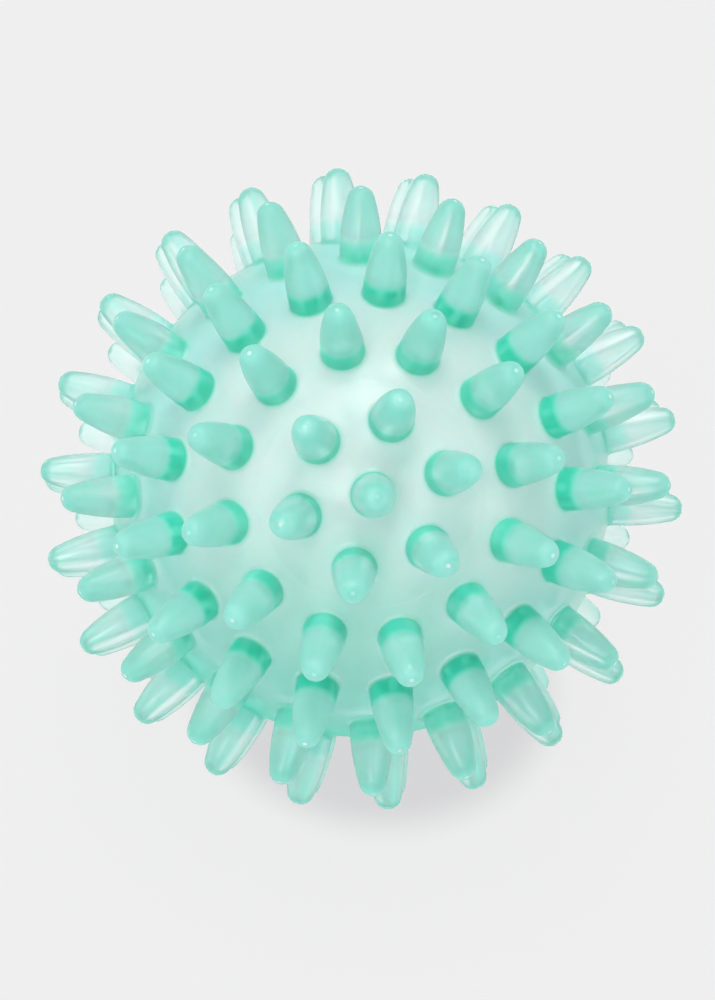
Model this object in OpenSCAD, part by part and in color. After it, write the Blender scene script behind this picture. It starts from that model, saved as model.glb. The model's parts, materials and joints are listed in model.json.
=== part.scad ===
// Hollow sensory ball of soft translucent vinyl: two half skins welded on the equator, rings of
// round-tipped spikes, and an air valve with a pull-out plug at the rear pole.
// The ball lies on three of its spike tips, with the origin at its centre and +Z up.

/* [Skin] */
// Outside diameter of the hollow skin
skin_d = 69.6; // [60:0.2:80]
// Thickness of the skin
skin_wall = 3; // [1.6:0.1:4]
// Height of the lap where the two halves are welded
lap_h = 3; // [2:0.1:5]

/* [Spikes] */
// Height of a spike above the skin
spike_l = 10.2; // [8:0.1:13]
// Diameter of a spike at the top of its root fillet
spike_d = 5.8; // [5:0.1:6.4]
// Radius of the round tip
tip_r = 1.9; // [1:0.1:2.4]
// Radius of the fillet at the root
root_r = 0.7; // [0.4:0.1:0.9]

/* [Valve] */
// Diameter of the plug's stem
stem_d = 4.6; // [4:0.1:5]
// Length of the plug's stem
stem_l = 7; // [5:0.1:9]
// Diameter of the plug's head
head_d = 7; // [6:0.1:7.6]
// Thickness of the plug's head
head_t = 1.4; // [1:0.1:2]
// Diameter of the needle hole in the plug
needle_d = 1.2; // [0.8:0.1:1.6]
// Width of the collar's rim round the plug's head
collar_rim = 1; // [0.8:0.1:1.5]
// Width of the flange that holds the collar inside the skin
flange_w = 2; // [1.5:0.1:3]
// Thickness of that flange
flange_t = 1.2; // [0.8:0.1:2]

/* [Hidden] */
$fn = 96;

// Weld film between pieces that are joined for good
bond_gap = 0.05;
// Radial clearance of the plug's stem in the collar's bore
stem_clear = 0.1;
// Radial clearance round the plug's head in its recess
head_clear = 0.3;
// Clearance under the plug's head
seat_gap = 0.1;
// How far the plug's head stands out of its recess, for a fingernail
head_proud = 0.5;
// Rounding of the head's edge, and chamfer on the stem's end
head_edge_r = 0.4;
stem_chamfer = 0.8;
// Closed length of stem past the needle hole, which the needle pierces
needle_floor = 1.5;
// How far the stem reaches past the collar's inner end
stem_reach = 1;
// Overrun of cuts and of joined shapes
overrun = 1;

// Rings of spikes from each pole to the equator, which itself lies midway between two rings
rings = 5;
ring_pitch = 180 / (2 * rings + 1);
// Where each ring's first spike stands, as a share of the step between spikes, pole first
start_shares = [0, 0.27, 0.38, 0.05, 0.07, 0.79];
// Turn of the rear half about the ball's axis when it is laid against the front half
rear_turn = 44;
// The ball lies on two neighbours of one rear ring and on the spike between them in the ring within:
// rings counted from the rear pole to the neighbours, and spikes counted round to the first of them
rest_rings = 3;
rest_count = 6;

skin_r = skin_d / 2;
cavity_r = skin_r - skin_wall;
lap_r = skin_r - skin_wall / 2;

spike_r = spike_d / 2;
foot_r = spike_r + root_r;
crown_r = skin_r + spike_l;
// The convex flank is one arc, upright at the top of the root fillet and tangent to the round tip
flank_y = skin_r + root_r;
dome_y = crown_r - tip_r;
flank_rise = dome_y - flank_y;
flank_r = (flank_rise * flank_rise / (spike_r - tip_r) + spike_r + tip_r) / 2;
dome_joint_y = flank_y + flank_rise * flank_r / (flank_r - tip_r);

stem_r = stem_d / 2;
head_r = head_d / 2;
bore_r = stem_r + stem_clear;
recess_r = head_r + head_clear;
collar_r = recess_r + collar_rim;
flange_r = collar_r + flange_w;
// Heights along the valve's axis, from the ball's centre
mouth_y = sqrt(skin_r * skin_r - recess_r * recess_r);
head_top_y = mouth_y + head_proud;
head_under_y = head_top_y - head_t;
seat_y = head_under_y - seat_gap;
stem_end_y = head_under_y - stem_l;
collar_end_y = stem_end_y + stem_reach;

mint = [0.56, 0.88, 0.79];
pale_mint = [0.77, 0.92, 0.89];

// Spikes in a ring, spaced along it about as widely as the rings are apart
function spike_count(ring) = ring == 0 ? 1 : round(360 / ring_pitch * sin(ring * ring_pitch));
function spike_turn(ring, number) = 360 / spike_count(ring) * (number + start_shares[ring]);

// Direction of a rear spike from the ball's centre
function rear_direction(ring, number) =
    let (tilt = ring * ring_pitch, turn = rear_turn - spike_turn(ring, number))
    [sin(tilt) * cos(turn), sin(tilt) * sin(turn), -cos(tilt)];

// Number of the spike in a ring that stands nearest to a turn about the ball's axis
function nearest_number(ring, turn) = round(turn / 360 * spike_count(ring) - start_shares[ring]);

// Outward normal of the plane through three spike tips
function plane_normal(a, b, c) =
    let (n = cross(b - a, c - a))
    n / norm(n) * sign(n * a);

between_turn = (spike_turn(rest_rings, rest_count) + spike_turn(rest_rings, rest_count + 1)) / 2;
down = plane_normal(
    rear_direction(rest_rings, rest_count),
    rear_direction(rest_rings, rest_count + 1),
    rear_direction(rest_rings - 1, nearest_number(rest_rings - 1, between_turn))
);

// Turns the ball from its own axis to the way it lies
module lay() {
    rotate(a = acos(-down.z), v = [-down.y, down.x, 0]) children();
}

// Both halves have the same layout of spikes: the rear one is the front one turned over
module turn_over() {
    rotate([0, 0, rear_turn]) rotate([180, 0, 0]) children();
}

module half_skin_profile() {
    difference() {
        intersection() {
            circle(skin_r);
            square(skin_r);
        }
        circle(cavity_r);
    }
}

// Half of the spike's section, with its foot hollowed to seat on the skin
module spike_profile() {
    difference() {
        square([foot_r, crown_r]);
        difference() {
            translate([0, flank_y]) square([foot_r, crown_r]);
            translate([spike_r - flank_r, flank_y]) circle(flank_r);
        }
        difference() {
            translate([0, dome_joint_y]) square([foot_r, crown_r]);
            translate([0, dome_y]) circle(tip_r);
        }
        translate([foot_r, flank_y]) circle(root_r);
        circle(skin_r + bond_gap);
    }
}

module spike_ring(ring) {
    for (number = [0 : spike_count(ring) - 1])
        rotate([0, ring * ring_pitch, spike_turn(ring, number)])
            rotate_extrude() spike_profile();
}

module front_spikes(ring) {
    color(mint) lay() spike_ring(ring);
}

module rear_spikes(ring) {
    color(mint) lay() turn_over() spike_ring(ring);
}

// Front half of the skin, with a rebate inside its rim for the rear half's tongue
module front_half_skin() {
    color(pale_mint) lay() rotate_extrude() difference() {
        half_skin_profile();
        square([skin_r + overrun, bond_gap]);
        square([lap_r + bond_gap, lap_h + bond_gap]);
    }
}

// Rear half of the skin, with a tongue inside its rim and a hole for the valve at its pole
module rear_half_skin() {
    color(pale_mint) lay() turn_over() rotate_extrude() difference() {
        union() {
            half_skin_profile();
            translate([0, -lap_h]) square([lap_r, lap_h + overrun]);
        }
        circle(cavity_r);
        square([collar_r + bond_gap, skin_r + overrun]);
    }
}

module front_pole_spike() { front_spikes(0); }
module front_ring_1_spikes() { front_spikes(1); }
module front_ring_2_spikes() { front_spikes(2); }
module front_ring_3_spikes() { front_spikes(3); }
module front_ring_4_spikes() { front_spikes(4); }
module front_ring_5_spikes() { front_spikes(5); }
module rear_ring_1_spikes() { rear_spikes(1); }
module rear_ring_2_spikes() { rear_spikes(2); }
module rear_ring_3_spikes() { rear_spikes(3); }
module rear_ring_4_spikes() { rear_spikes(4); }
module rear_ring_5_spikes() { rear_spikes(5); }

// Thick-walled collar let into the rear pole, flush outside and flanged against the skin's inside
module valve_collar() {
    color(pale_mint) lay() turn_over() rotate_extrude() difference() {
        intersection() {
            circle(skin_r);
            union() {
                translate([0, collar_end_y]) square([collar_r, skin_r]);
                intersection() {
                    circle(cavity_r - bond_gap);
                    translate([0, cavity_r - bond_gap - flange_t]) square([flange_r, skin_r]);
                }
            }
        }
        square([bore_r, skin_r + overrun]);
        translate([0, seat_y]) square([recess_r, skin_r]);
    }
}

// Pull-out plug: a round head in the collar's recess and a stem with a blind needle hole
module valve_plug() {
    color(mint) lay() turn_over() rotate_extrude() difference() {
        polygon([
            [0, stem_end_y],
            [stem_r - stem_chamfer, stem_end_y],
            [stem_r, stem_end_y + stem_chamfer],
            [stem_r, head_under_y],
            [head_r, head_under_y],
            [head_r, head_top_y],
            [0, head_top_y]
        ]);
        difference() {
            translate([head_r - head_edge_r, head_top_y - head_edge_r]) square(head_edge_r + overrun);
            translate([head_r - head_edge_r, head_top_y - head_edge_r]) circle(head_edge_r);
        }
        translate([0, stem_end_y + needle_floor]) square([needle_d / 2, skin_r]);
    }
}

front_half_skin();
rear_half_skin();
front_pole_spike();
front_ring_1_spikes();
front_ring_2_spikes();
front_ring_3_spikes();
front_ring_4_spikes();
front_ring_5_spikes();
rear_ring_1_spikes();
rear_ring_2_spikes();
rear_ring_3_spikes();
rear_ring_4_spikes();
rear_ring_5_spikes();
valve_collar();
valve_plug();
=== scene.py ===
# Spiky sensory ball of soft translucent vinyl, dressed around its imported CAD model.
import json
import math

import bmesh
import bpy
from mathutils import Matrix, Vector


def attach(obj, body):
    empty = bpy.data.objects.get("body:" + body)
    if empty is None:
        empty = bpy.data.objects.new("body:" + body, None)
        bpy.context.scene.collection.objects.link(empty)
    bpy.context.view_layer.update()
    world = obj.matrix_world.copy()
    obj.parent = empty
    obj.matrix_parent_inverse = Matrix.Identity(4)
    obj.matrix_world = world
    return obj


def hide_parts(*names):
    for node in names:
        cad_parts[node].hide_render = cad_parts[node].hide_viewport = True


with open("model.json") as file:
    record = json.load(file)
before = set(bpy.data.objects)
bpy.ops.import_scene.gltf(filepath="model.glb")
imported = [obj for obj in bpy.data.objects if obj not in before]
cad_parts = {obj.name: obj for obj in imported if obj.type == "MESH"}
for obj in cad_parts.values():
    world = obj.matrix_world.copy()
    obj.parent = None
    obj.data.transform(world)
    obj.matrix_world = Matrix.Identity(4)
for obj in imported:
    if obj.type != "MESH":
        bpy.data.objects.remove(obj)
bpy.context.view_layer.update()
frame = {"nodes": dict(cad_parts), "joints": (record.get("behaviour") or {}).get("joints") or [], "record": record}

# The ball's skin and its 155 spikes are one soft vinyl moulding, clear outside and frosted inside.
# It is cast hollow in a two-part mould, which leaves a fine line on the equator and round each pole,
# and a small vent dimple in the tip of each spike.
MM = 0.001
skin_radius = 34.8
cavity_radius = 31.8
spike_radius = 2.9
spike_top = 45.0
tip_radius = 1.9
root_radius = 0.7
vent_depth = 0.2
hole_radius = 4.85
spike_sides = 24
fillet_steps = 3
flank_steps = 5
dome_steps = 4
cavity_steps = 60
skin_fineness = 5
same_point = 1e-4
same_rim = 0.01
rings_per_half = 5
ring_pitch = math.pi / (2 * rings_per_half + 1)
ring_starts = (0, 0.27, 0.38, 0.05, 0.07, 0.79)
rear_turn = math.radians(44)
mould_line_width = 0.3
equator_line_height = 0.1
pole_line_height = 0.06
pole_line_angle = math.radians(25)

# The ball is modelled upright in millimetres, with its front pole up, and then laid as it rests.
rear_pole = Vector(frame["joints"][0]["axis"])
lay = Matrix.Scale(MM, 4) @ Vector((0, 0, -1)).rotation_difference(rear_pole).to_matrix().to_4x4()
turn_over = Matrix.Rotation(rear_turn, 4, "Z") @ Matrix.Rotation(math.pi, 4, "X")


def draw_arc(shape, start, centre, angle, steps):
    """Sweeps a vertex in the XZ plane, from +X towards +Z, and returns the arc's last vertex."""
    swept = bmesh.ops.spin(shape, geom=[start], cent=centre, axis=(0, -1, 0), angle=angle, steps=steps)
    return swept["geom_last"][0]


def spin_round(shape, steps):
    """Turns a half section in the XZ plane into a round solid about Z."""
    section = shape.verts[:] + shape.edges[:]
    bmesh.ops.spin(
        shape, geom=section, cent=(0, 0, 0), axis=(0, 0, 1), angle=math.tau, steps=steps, use_merge=True
    )
    bmesh.ops.remove_doubles(shape, verts=shape.verts, dist=same_point)


def make_mesh(shape, name):
    """Keeps a finished shape as a smooth mesh."""
    for face in shape.faces:
        face.smooth = True
    mesh = bpy.data.meshes.new(name)
    shape.to_mesh(mesh)
    shape.free()
    return mesh


def make_object(mesh):
    """Puts a mesh into the scene as an object of the same name."""
    piece = bpy.data.objects.new(mesh.name, mesh)
    bpy.context.scene.collection.objects.link(piece)
    return piece


def spike_places():
    """Yields the turn that carries a spike from the front pole to each place on the ball."""
    yield Matrix.Identity(4)
    for half in (Matrix.Identity(4), turn_over):
        for ring in range(1, rings_per_half + 1):
            tilt = ring * ring_pitch
            count = round(math.tau / ring_pitch * math.sin(tilt))
            for number in range(count):
                turn = math.tau / count * (number + ring_starts[ring])
                yield half @ Matrix.Rotation(turn, 4, "Z") @ Matrix.Rotation(tilt, 4, "Y")


# One spike: a root fillet tangent to the skin, a convex flank and a round tip with its dimple.
foot_radius = spike_radius + root_radius
flank_foot = skin_radius + root_radius
fillet_height = math.sqrt(flank_foot**2 - foot_radius**2)
fillet_turn = math.atan2(fillet_height, foot_radius)
dome_height = spike_top - tip_radius
flank_rise = dome_height - flank_foot
flank_radius = (flank_rise**2 / (spike_radius - tip_radius) + spike_radius + tip_radius) / 2
flank_turn = math.atan2(flank_rise, flank_radius - spike_radius)
rim_radius = foot_radius * skin_radius / flank_foot
rim_height = fillet_height * skin_radius / flank_foot

spike = bmesh.new()
vent_layer = spike.verts.layers.float.new("vent_mark")
end = spike.verts.new((rim_radius, 0, rim_height))
end = draw_arc(spike, end, (foot_radius, 0, fillet_height), -fillet_turn, fillet_steps)
end = bmesh.ops.extrude_vert_indiv(spike, verts=[end])["verts"][0]
end.co.z = flank_foot
end = draw_arc(spike, end, (spike_radius - flank_radius, 0, flank_foot), flank_turn, flank_steps)
end = draw_arc(spike, end, (0, 0, dome_height), math.pi / 2 - flank_turn, dome_steps)
end.co.z -= vent_depth
end[vent_layer] = 1.0
spin_round(spike, spike_sides)
spike_mesh = make_mesh(spike, "spike_pattern")

# The skin's outside is the hull of the spikes' rims, the valve's rim and a fine ball between them.
clearance = 1.2
spike_margin = math.asin(rim_radius / skin_radius) + clearance / skin_radius
hole_margin = math.asin(hole_radius / skin_radius) + clearance / skin_radius
hole_height = math.sqrt(skin_radius**2 - hole_radius**2)
seats = list(spike_places())
spike_axes = [seat @ Vector((0, 0, 1)) for seat in seats]
ball = bmesh.new()
ball.verts.layers.float.new("vent_mark")
bmesh.ops.create_icosphere(ball, subdivisions=skin_fineness, radius=skin_radius)
covered = [
    v for v in ball.verts
    if v.co.angle(Vector((0, 0, -1))) < hole_margin
    or any(v.co.angle(axis) < spike_margin for axis in spike_axes)
]
bmesh.ops.delete(ball, geom=covered, context="VERTS")
bmesh.ops.delete(ball, geom=ball.edges[:], context="EDGES_FACES")
rims = [(seat @ Matrix.Translation((0, 0, rim_height)), rim_radius) for seat in seats]
rims.append((Matrix.Translation((0, 0, -hole_height)), hole_radius))
rim_of = {}
for number, (seat, size) in enumerate(rims):
    circle = bmesh.ops.create_circle(ball, segments=spike_sides, radius=size, matrix=seat)
    rim_of.update((v, number) for v in circle["verts"])
bmesh.ops.convex_hull(ball, input=ball.verts)
caps = [f for f in ball.faces if f.verts[0] in rim_of and len({rim_of.get(v) for v in f.verts}) == 1]
bmesh.ops.delete(ball, geom=caps, context="FACES")

# The mould's lines: each is cut as three rings, and the middle one stands up a little.
for angle, height in (
    (math.pi / 2, equator_line_height),
    (pole_line_angle, pole_line_height),
    (math.pi - pole_line_angle, pole_line_height),
):
    for step, rise in (-1, 0), (0, height), (1, 0):
        level = skin_radius * math.cos(angle + step * mould_line_width / skin_radius)
        cut = bmesh.ops.bisect_plane(
            ball,
            geom=ball.verts[:] + ball.edges[:] + ball.faces[:],
            dist=same_point,
            plane_co=(0, 0, level),
            plane_no=(0, 0, 1),
        )
        for v in cut["geom_cut"]:
            if isinstance(v, bmesh.types.BMVert):
                v.co = v.co.normalized() * (skin_radius + rise)

# The cavity: the wall of the valve's hole and the inside of the skin, as one section spun round.
inside = bmesh.new()
end = inside.verts.new((hole_radius, 0, -hole_height))
end = bmesh.ops.extrude_vert_indiv(inside, verts=[end])["verts"][0]
end.co.z = -math.sqrt(cavity_radius**2 - hole_radius**2)
draw_arc(inside, end, (0, 0, 0), math.pi - math.asin(hole_radius / cavity_radius), cavity_steps)
spin_round(inside, spike_sides)
inside_mesh = make_mesh(inside, "cavity_pattern")

# Skin, cavity and spikes are joined at their rims into one closed shell, and laid.
for pattern, seat in [(inside_mesh, Matrix.Identity(4))] + [(spike_mesh, seat) for seat in seats]:
    before = len(ball.verts)
    ball.from_mesh(pattern)
    ball.verts.ensure_lookup_table()
    bmesh.ops.transform(ball, matrix=seat, verts=ball.verts[before:])
for pattern in (spike_mesh, inside_mesh):
    bpy.data.meshes.remove(pattern)
bmesh.ops.remove_doubles(ball, verts=ball.verts, dist=same_rim)
bmesh.ops.recalc_face_normals(ball, faces=ball.faces)
bmesh.ops.transform(ball, matrix=lay, verts=ball.verts)
moulded_ball = make_object(make_mesh(ball, "moulded_ball"))


class Wire:
    """A socket in a node tree, so that sums of shader values read as plain sums."""

    def __init__(self, tree, socket=None):
        self.tree, self.socket = tree, socket

    def node(self, kind, settings=None, sockets=None, output=0):
        """Adds a node: its settings first, then the values or links of its sockets."""
        made = self.tree.nodes.new("ShaderNode" + kind)
        for name, value in (settings or {}).items():
            setattr(made, name, value)
        for name, value in (sockets or {}).items():
            if isinstance(value, Wire):
                self.tree.links.new(value.socket, made.inputs[name])
            else:
                made.inputs[name].default_value = value
        return Wire(self.tree, made.outputs[output] if made.outputs else None)

    def maths(self, operation, a, b):
        return self.node("Math", {"operation": operation}, {0: a, 1: b})

    def blend(self, share, first, second):
        """Mixes two colours."""
        return self.node("Mix", {"data_type": "RGBA"}, {0: share, 6: first, 7: second}, output=2)

    def ramp(self, value, start, end):
        """A soft step from 0 to 1."""
        span = {"Value": value, "From Min": start, "From Max": end, "To Min": 0.0, "To Max": 1.0}
        return self.node("MapRange", {"interpolation_type": "SMOOTHSTEP"}, span)

    def __add__(self, other):
        return self.maths("ADD", self, other)

    __radd__ = __add__

    def __sub__(self, other):
        return self.maths("SUBTRACT", self, other)

    def __rsub__(self, other):
        return self.maths("SUBTRACT", other, self)

    def __mul__(self, other):
        return self.maths("MULTIPLY", self, other)

    __rmul__ = __mul__

    def __lt__(self, other):
        return self.maths("LESS_THAN", self, other)


def start_tree(owner):
    """Empties the node tree of a material or world, and returns a wire to build on."""
    owner.use_nodes = True
    owner.node_tree.nodes.clear()
    return Wire(owner.node_tree)


# All three pieces are of the same kind of vinyl, with a fine grain. Lengths are in millimetres.
vinyl_ior = 1.5
grain_scale = 900.0
grain_strength = 0.1
grain_height = 0.05
glint_roughness = 0.03
glint_ior = 1.9
haze_roughness = 0.25
haze_reach = 5
haze_reach_by_colour = (0.5, 1.0, 0.8)
depth_tint = (0.06, 0.93, 0.80, 1)
depth_density = 35.0


def finish_vinyl(tree, place, tone, roughness, haze, haze_colour, glint):
    """Ends a translucent vinyl: a clear body tinted by its depth, and a haze that scatters a share of
    the light that enters. The glint is the weight of a hard gloss on top."""
    pebble = tree.node("TexNoise", {}, {"Vector": place, "Scale": grain_scale, "Detail": 2.0})
    relief = {"Strength": grain_strength, "Distance": grain_height * MM, "Height": pebble}
    grain = tree.node("Bump", {}, relief)
    clear = tree.node(
        "BsdfPrincipled",
        {},
        {
            "Base Color": tone,
            "Roughness": roughness,
            "IOR": vinyl_ior,
            "Transmission Weight": 1.0,
            "Coat Weight": glint,
            "Coat Roughness": glint_roughness,
            "Coat IOR": glint_ior,
            "Normal": grain,
        },
    )
    hazy = tree.node(
        "BsdfPrincipled",
        {},
        {
            "Base Color": haze_colour,
            "Roughness": roughness + haze_roughness,
            "IOR": vinyl_ior,
            "Subsurface Weight": 1.0,
            "Subsurface Radius": haze_reach_by_colour,
            "Subsurface Scale": haze_reach * MM,
            "Normal": grain,
        },
    )
    leaving = tree.node("NewGeometry", output="Backfacing")
    surface = tree.node("MixShader", {}, {0: haze * (1 - leaving), 1: clear, 2: hazy})
    depth = tree.node("VolumeAbsorption", {}, {"Color": depth_tint, "Density": depth_density})
    tree.node("OutputMaterial", {}, {"Surface": surface, "Volume": depth})


# The skin's haze is white at the poles and mint towards the equator, a painted shade of the ball's edge in the
# front view, and deepest mint on the lower band near the equator, where a painted shade lies.
# The spikes have a deep mint foot, a painted shade where they meet the skin, and a mint flank, both painted paler
# near the equator where the front view sees them at the edge, and a vent mark painted white as a glint.
# Zones of distance from the ball's centre, of height and of distance from the equator, in millimetres
fillet_zone = (34.75, 35.4)
foot_shade_zone = (37.1, 39.0)
taper_zone = (37.5, 45.5)
top_light_zone = (-5, 28)
under_zone = (-14, 6)
painted_edge_zone = (14, 30)
band_zone = (9, 25)
lap_shade_zone = (10, 18)
# Zones of the mark on the tips' vertices, and of the noise that smears the surface
vent_zone = (0.25, 0.8)
smear_zone = (0.35, 0.6)
smear_scale = 90.0
# Shares of light that the haze scatters. The spikes near the equator, the ball's edge in the front view, are
# painted paler.
skin_haze = 0.42
# The spikes' feet have a thick deep mint haze, a painted shade where they meet the skin.
foot_haze = 0.72
spike_haze = 0.42
edge_lit_haze = 0.30
edge_lit_foot_haze = 0.45
vent_glint_haze = 0.25
lap_shade_haze = 0.3
# The skin's haze is thinner below and thicker above, a painted light that makes the top whiter, and a part of the
# lap's painted shade is left above.
haze_below = 0.55
top_light_haze_gain = 0.65
lap_shade_above = 0.2
# Roughness of the surfaces
skin_gloss = 0.06
spike_gloss = 0.15
smear_roughness = 0.02
cavity_frost = 0.24
# Tones of the clear vinyl, outside and on the cavity's wall
plain_clear = (1.0, 1.0, 1.0, 1)
smeared_clear = (0.96, 0.99, 0.985, 1)
# The clear vinyl on the lower band near the equator is painted mint, a painted shade.
lap_shade_clear = (0.30, 0.92, 0.78, 1)
# The cavity's wall is painted deeper mint towards the equator, a painted shade of the edge in view.
edge_shade_wall = (0.58, 0.96, 0.91, 1)
pole_wall = (0.68, 0.97, 0.935, 1)
# Colours of the haze
# The haze is painted deeper mint on the skin towards the equator and paler on the spikes there: painted shade and
# light of the edge in view.
edge_shade_skin = (0.48, 0.97, 0.87, 1)
lap_shade_mint = (0.08, 0.84, 0.65, 1)
pole_skin = (0.94, 0.98, 0.975, 1)
edge_lit_foot = (0.45, 0.95, 0.84, 1)
deep_foot_shade = (0.05, 0.74, 0.55, 1)
edge_lit_flank = (0.88, 0.98, 0.94, 1)
pole_flank = (0.48, 0.94, 0.83, 1)
spike_tip = (0.43, 0.88, 0.76, 1)
# The vent mark is a real dimple, painted white as a glint.
vent_glint_white = (0.90, 1.0, 0.97, 1)
mint_vinyl = bpy.data.materials.new("mint_vinyl")
tree = start_tree(mint_vinyl)
place = tree.node("TexCoord", output="Object")
height = tree.node("SeparateXYZ", {}, {0: place}, output="Z") * (1 / MM)
radius = tree.node("VectorMath", {"operation": "LENGTH"}, {0: place}, output="Value") * (1 / MM)
in_cavity = radius < (skin_radius + cavity_radius) / 2
axis_dot = {0: place, 1: rear_pole}
along_axis = tree.node("VectorMath", {"operation": "DOT_PRODUCT"}, axis_dot, output="Value")
latitude = tree.maths("ABSOLUTE", along_axis, 0.0) * (1 / MM)
# The painted shade and light of the ball's edge fade out towards the poles.
to_pole = tree.ramp(latitude, *painted_edge_zone)
on_spike = tree.ramp(radius, *fillet_zone)
past_foot_shade = tree.ramp(radius, *foot_shade_zone)
to_tip = tree.ramp(radius, *taper_zone)
smear = tree.node("TexNoise", {}, {"Vector": place, "Scale": smear_scale, "Detail": 3.0})
vent_mark = tree.node("Attribute", {"attribute_name": "vent_mark"}, output="Fac")
# The vent's painted glint, which is also where its hard gloss lies.
in_vent_glint = tree.ramp(vent_mark, *vent_zone) * tree.ramp(smear, *smear_zone)
# The lower band near the equator is painted deeper mint, a painted shade under the ball.
under = 1 - tree.ramp(height, *under_zone)
lap_shade_share = lap_shade_above + (1 - lap_shade_above) * under
painted_lap_shade = lap_shade_share * (1 - tree.ramp(latitude, *lap_shade_zone)) * (1 - on_spike)
clear_tone = tree.blend(smear, plain_clear, smeared_clear)
outer_tone = tree.blend(painted_lap_shade, clear_tone, lap_shade_clear)
inner_tone = tree.blend(to_pole, edge_shade_wall, pole_wall)
tone = tree.blend(in_cavity, outer_tone, inner_tone)
on_outside = skin_gloss + (spike_gloss - skin_gloss) * on_spike
roughness = on_outside + smear_roughness * smear + cavity_frost * in_cavity
# Painted light: the skin's haze grows whiter towards the top.
above = tree.ramp(height, *top_light_zone)
on_skin = skin_haze * (haze_below + top_light_haze_gain * above) + lap_shade_haze * painted_lap_shade
on_flank = edge_lit_haze + (spike_haze - edge_lit_haze) * to_pole
# Painted shade at each spike's foot, shown fully away from the equator and paler near it.
banded = tree.ramp(latitude, *band_zone)
foot_shade_share = edge_lit_foot_haze + (foot_haze - edge_lit_foot_haze) * banded
along_spike = foot_shade_share + (on_flank - foot_shade_share) * past_foot_shade
haze = (on_skin + (along_spike - on_skin) * on_spike) * (1 - in_cavity) + vent_glint_haze * in_vent_glint
flank_tone = tree.blend(to_pole, edge_lit_flank, pole_flank)
foot_shade_tone = tree.blend(banded, edge_lit_foot, deep_foot_shade)
flank_colour = tree.blend(past_foot_shade, foot_shade_tone, flank_tone)
spike_colour = tree.blend(to_tip, flank_colour, spike_tip)
edge_and_lap_shade = tree.blend(painted_lap_shade, edge_shade_skin, lap_shade_mint)
skin_colour = tree.blend(to_pole, edge_and_lap_shade, pole_skin)
moulded_colour = tree.blend(on_spike, skin_colour, spike_colour)
haze_colour = tree.blend(in_vent_glint, moulded_colour, vent_glint_white)
finish_vinyl(tree, place, tone, roughness, haze, haze_colour, in_vent_glint)
moulded_ball.data.materials.append(mint_vinyl)
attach(moulded_ball, "ball")
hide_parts(*[name for name in frame["nodes"] if not name.startswith("valve")])

# The valve's collar is a thick vinyl ring let into the rear pole, flush outside and flanged inside.
# It is moulded by itself, with soft edges, and welded into the skin's hole.
bore_radius = 2.4
recess_radius = 3.8
collar_radius = 4.8
flange_radius = 6.8
flange_seat = 31.75
flange_under = 30.55
collar_end = 27.692
plug_seat = 33.592
collar_edge = 0.15
valve_sides = 48
sharp_angle = math.radians(30)
valve_smear_scale = 160.0
valve_gloss = 0.14
valve_smear_roughness = 0.06
valve_haze = 0.3
valve_glint = 0.0
valve_clear = (0.90, 0.99, 0.97, 1)
valve_smeared_clear = (0.82, 0.97, 0.94, 1)
valve_mint = (0.36, 0.90, 0.78, 1)
valve_deep_mint = (0.30, 0.86, 0.73, 1)


def draw_line(shape, points):
    """Joins points in the XZ plane by edges, and returns the vertices."""
    drawn = [shape.verts.new((x, 0, z)) for x, z in points]
    for pair in zip(drawn, drawn[1:]):
        shape.edges.new(pair)
    return drawn


def height_on(ball_radius, radius):
    """Height at which a ball's surface stands over a radius."""
    return math.sqrt(ball_radius**2 - radius**2)


def finish_valve_piece(shape, name, soft_edge):
    """Spins a section round, softens its edges, lays it at the rear pole and makes the object."""
    spin_round(shape, valve_sides)
    bmesh.ops.recalc_face_normals(shape, faces=shape.faces)
    sharp = [edge for edge in shape.edges if edge.calc_face_angle() > sharp_angle]
    bmesh.ops.bevel(
        shape, geom=sharp, offset=soft_edge, affect="EDGES", segments=2, profile=0.5, material=-1,
        clamp_overlap=True,
    )
    bmesh.ops.transform(shape, matrix=lay @ turn_over, verts=shape.verts)
    return make_object(make_mesh(shape, name))


collar = bmesh.new()
drawn = draw_line(
    collar,
    [
        (recess_radius, height_on(skin_radius, recess_radius)),
        (recess_radius, plug_seat),
        (bore_radius, plug_seat),
        (bore_radius, collar_end),
        (collar_radius, collar_end),
        (collar_radius, flange_under),
        (flange_radius, flange_under),
        (flange_radius, height_on(flange_seat, flange_radius)),
        (collar_radius, height_on(flange_seat, collar_radius)),
        (collar_radius, height_on(skin_radius, collar_radius)),
    ],
)
collar.edges.new((drawn[-1], drawn[0]))
valve_collar = finish_valve_piece(collar, "vinyl_collar", collar_edge)
valve_vinyl = bpy.data.materials.new("valve_vinyl")
tree = start_tree(valve_vinyl)
place = tree.node("TexCoord", output="Object")
smear = tree.node("TexNoise", {}, {"Vector": place, "Scale": valve_smear_scale, "Detail": 3.0})
tone = tree.blend(smear, valve_clear, valve_smeared_clear)
haze_colour = tree.blend(smear, valve_mint, valve_deep_mint)
roughness = valve_gloss + valve_smear_roughness * smear
finish_vinyl(tree, place, tone, roughness, valve_haze, haze_colour, valve_glint)
valve_collar.data.materials.append(valve_vinyl)
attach(valve_collar, "ball")
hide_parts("valve_collar")

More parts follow.
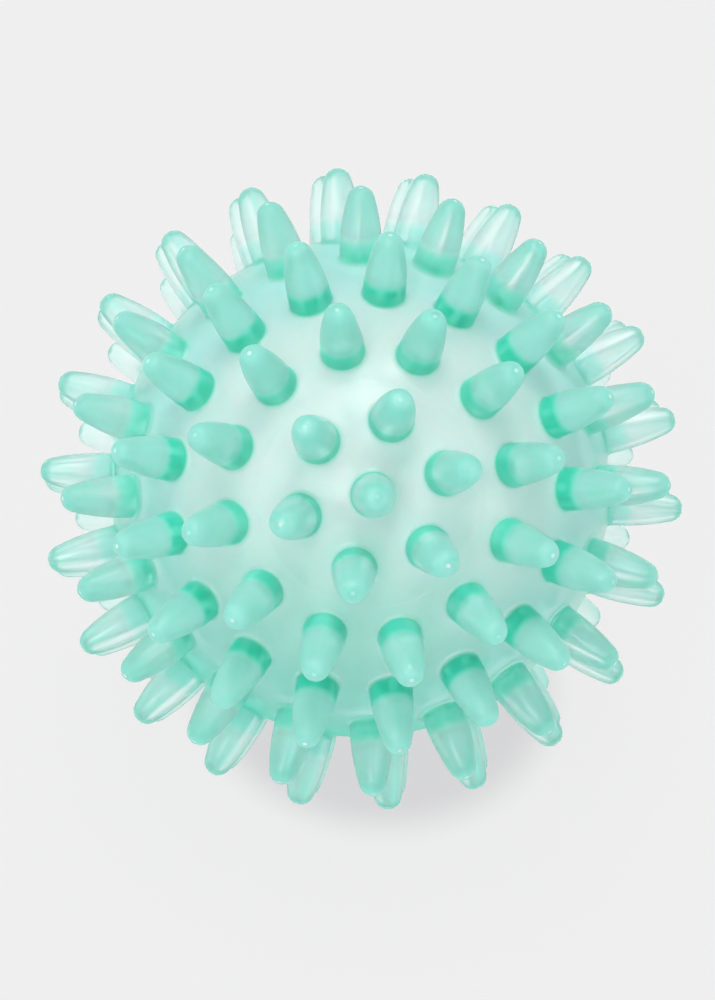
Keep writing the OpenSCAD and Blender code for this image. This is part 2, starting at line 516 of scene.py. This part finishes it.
# The plug is a pull-out vinyl stopper with a round head, a tapered end and a blind hole for the needle.
# It is moulded in one and held only by its own grip in the collar.
stem_radius = 2.3
stem_end = 26.692
stem_chamfer = 0.8
head_radius = 3.5
head_under = 33.692
head_top = 35.092
head_round = 0.4
needle_radius = 0.6
needle_end = 28.192
head_steps = 4
plug_edge = 0.1
plug = bmesh.new()
drawn = draw_line(
    plug,
    [
        (0, stem_end),
        (stem_radius - stem_chamfer, stem_end),
        (stem_radius, stem_end + stem_chamfer),
        (stem_radius, head_under),
        (head_radius, head_under),
        (head_radius, head_top - head_round),
    ],
)
end = draw_arc(plug, drawn[-1], (head_radius - head_round, 0, head_top - head_round), math.pi / 2, head_steps)
drawn = draw_line(plug, [(needle_radius, head_top), (needle_radius, needle_end), (0, needle_end)])
plug.edges.new((end, drawn[0]))
valve_plug = finish_valve_piece(plug, "vinyl_plug", plug_edge)
valve_plug.data.materials.append(valve_vinyl)
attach(valve_plug, "plug")
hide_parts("valve_plug")

# The floor is a plain sheet of pale paper, with a soft shade painted beside the ball's resting place over a
# small share of the cast shadow. Seen through or mirrored in the vinyl, it has a painted mint shade under the
# ball.
# Its underside is left out, so that the valve can be seen from below.
paper_white = 0.863
floor_level = frame["record"]["mounts"][0]["pos_m"][2]
floor_size = 4.0
shade_place = (6 * MM, 0, 0)
shade_zone = (22 * MM, 31 * MM)
painted_tint_zone = (10 * MM, 42 * MM)
painted_share = 0.95
shade_grey = (0.805, 0.80, 0.815, 1)
painted_mint_shade = (0.32, 0.88, 0.75, 1)
plain = (1, 1, 1, 1)
along_floor = (1, 1, 0)
floor = bmesh.new()
level = Matrix.Translation((0, 0, floor_level))
bmesh.ops.create_grid(floor, x_segments=1, y_segments=1, size=floor_size, matrix=level)
paper_floor = make_object(make_mesh(floor, "paper_floor"))
paper = bpy.data.materials.new("pale_paper")
tree = start_tree(paper)
through = tree.node("LightPath", output="Is Transmission Ray")
seen = tree.node("LightPath", output="Is Camera Ray")
mirrored = tree.node("LightPath", output="Is Glossy Ray") * (1 - through)
place = tree.node("TexCoord", output="Object")
spot = tree.node("VectorMath", {"operation": "MULTIPLY"}, {0: place, 1: along_floor})
from_rest = tree.node("VectorMath", {"operation": "LENGTH"}, {0: spot}, output="Value")
from_shade = tree.node("VectorMath", {"operation": "DISTANCE"}, {0: spot, 1: shade_place}, output="Value")
seen_painted_shade = tree.blend(tree.ramp(from_shade, *shade_zone), shade_grey, plain)
# Rays through or mirrored in the vinyl see a painted mint shade under the ball.
under_ball_painted_tint = tree.blend(tree.ramp(from_rest, *painted_tint_zone), painted_mint_shade, plain)
tone = tree.blend(seen, under_ball_painted_tint, seen_painted_shade)
sheet = tree.node("BsdfDiffuse", {}, {"Color": (paper_white, paper_white, paper_white, 1)})
bright = tree.node("Emission", {}, {"Color": tone, "Strength": paper_white + (1 - paper_white) * through})
topside = tree.node("MixShader", {}, {0: through + mirrored + painted_share * seen, 1: sheet, 2: bright})
underside = tree.node("BsdfTransparent")
from_below = tree.node("NewGeometry", output="Backfacing")
surface = tree.node("MixShader", {}, {0: from_below, 1: topside, 2: underside})
tree.node("OutputMaterial", {}, {"Surface": surface})
paper_floor.data.materials.append(paper)

# The studio is a white tent, brightest round its walls, with a soft light overhead and one at the front.
# Through the vinyl it shows as plain white. Mirrored in the vinyl it shows as the pale background, with the
# front light and a trace of the overhead one.
wall_level = 1.1
roof_level = 0.2
roof_start = math.sin(math.radians(45))
overhead_level = 12.0
mirrored_overhead = 0.05
overhead_direction = Vector((-0.09, 0.108, 0.990)).normalized()
overhead_edge = (math.cos(math.radians(16)), math.cos(math.radians(5)))
front_level = 5.0
front_direction = Vector((-0.40, -0.52, 0.75)).normalized()
front_edge = (math.cos(math.radians(14)), math.cos(math.radians(9)))
studio_tent = bpy.data.worlds.new("studio_tent")
bpy.context.scene.world = studio_tent
tree = start_tree(studio_tent)
sight = tree.node("TexCoord", output="Generated")


def soft_light(direction, edge, strength):
    """A round patch of light with a soft edge."""
    dot = tree.node("VectorMath", {"operation": "DOT_PRODUCT"}, {0: sight, 1: direction}, output="Value")
    return strength * tree.ramp(dot, *edge)


overhead = soft_light(overhead_direction, overhead_edge, overhead_level)
front = soft_light(front_direction, front_edge, front_level)
height = tree.node("SeparateXYZ", {}, {0: sight}, output="Z")
studio = wall_level + (roof_level - wall_level) * tree.ramp(height, 0.0, roof_start) + overhead + front
mirror = paper_white + mirrored_overhead * overhead + front
seen = tree.node("LightPath", output="Is Camera Ray")
through = tree.node("LightPath", output="Is Transmission Ray")
mirrored = tree.node("LightPath", output="Is Glossy Ray") * (1 - through)
light = studio + seen * (paper_white - studio) + through * (1 - studio) + mirrored * (mirror - studio)
background = tree.node("Background", {}, {"Color": plain, "Strength": light})
tree.node("OutputWorld", {}, {"Surface": background})

# The camera looks down at the ball's front pole from a little to the left.
# The shift of the picture is in thousandths of its height.
camera_distance = 428.6 * MM
sensor_width = 36.0
lens_length = 109.87
picture_shift = (-3.4, -11.4)
nearest_seen = 0.01
back = Vector((-0.1012767, -0.6482234, 0.754685)).normalized()
upward = Vector((-0.01975456, 0.75974618, 0.64991961)).normalized()
aim = Matrix((upward.cross(back), upward, back)).transposed().to_4x4()
camera = bpy.data.objects.new("camera", bpy.data.cameras.new("camera"))
bpy.context.scene.collection.objects.link(camera)
camera.matrix_world = Matrix.Translation(back * camera_distance) @ aim
camera.data.sensor_width = sensor_width
camera.data.lens = lens_length
camera.data.shift_x = picture_shift[0] / 1000
camera.data.shift_y = picture_shift[1] / 1000
camera.data.clip_start = nearest_seen
bpy.context.scene.camera = camera

# Light crosses many walls of vinyl, so its paths are long.
most_bounces = 64
bpy.context.scene.view_settings.view_transform = "Standard"
bpy.context.scene.cycles.max_bounces = most_bounces
bpy.context.scene.cycles.transmission_bounces = most_bounces
bpy.context.scene.cycles.glossy_bounces = most_bounces
